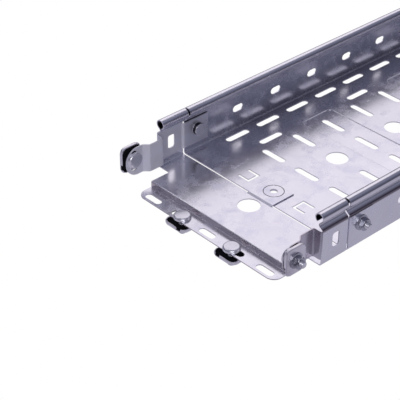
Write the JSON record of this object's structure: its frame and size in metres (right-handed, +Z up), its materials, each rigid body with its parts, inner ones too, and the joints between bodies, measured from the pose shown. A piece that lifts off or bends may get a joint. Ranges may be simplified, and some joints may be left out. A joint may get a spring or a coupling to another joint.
{
  "type": "perforated cable tray",
  "caption": "Perforated sheet-steel cable tray with rolled edges and a bolted end adapter whose ears and slotted lip clamp it to a wire basket.",
  "frame": {"origin": "centre of the footprint, at the lowest end of the bolts under the lip", "axes": "+X along the tray away from the end adapter, +Z up out of the open channel"},
  "size_m": [1.0756, 0.2318, 0.0715],
  "materials": {
    "tray_sheet": "hot-dip galvanised, smooth and semi-gloss",
    "adapter_sheet": "hot-dip galvanised, smooth and semi-gloss",
    "clamp_plates": "zinc-plated pressing",
    "fasteners": "bright zinc-plated"
  },
  "bodies": {
    "root": {"tray": "tray_sheet", "end_adapter": "adapter_sheet", "side_bolt_left": "fasteners", "side_nut_left": "fasteners", "side_bolt_right": "fasteners", "side_nut_right": "fasteners", "ear_bolt_left": "fasteners", "ear_nut_left": "fasteners", "ear_clamp_left": "clamp_plates", "ear_bolt_right": "fasteners", "ear_nut_right": "fasteners", "ear_clamp_right": "clamp_plates", "lip_bolt_left": "fasteners", "lip_nut_left": "fasteners", "lip_clamp_left": "clamp_plates", "lip_bolt_right": "fasteners", "lip_nut_right": "fasteners", "lip_clamp_right": "clamp_plates"}
  },
  "joints": []
}
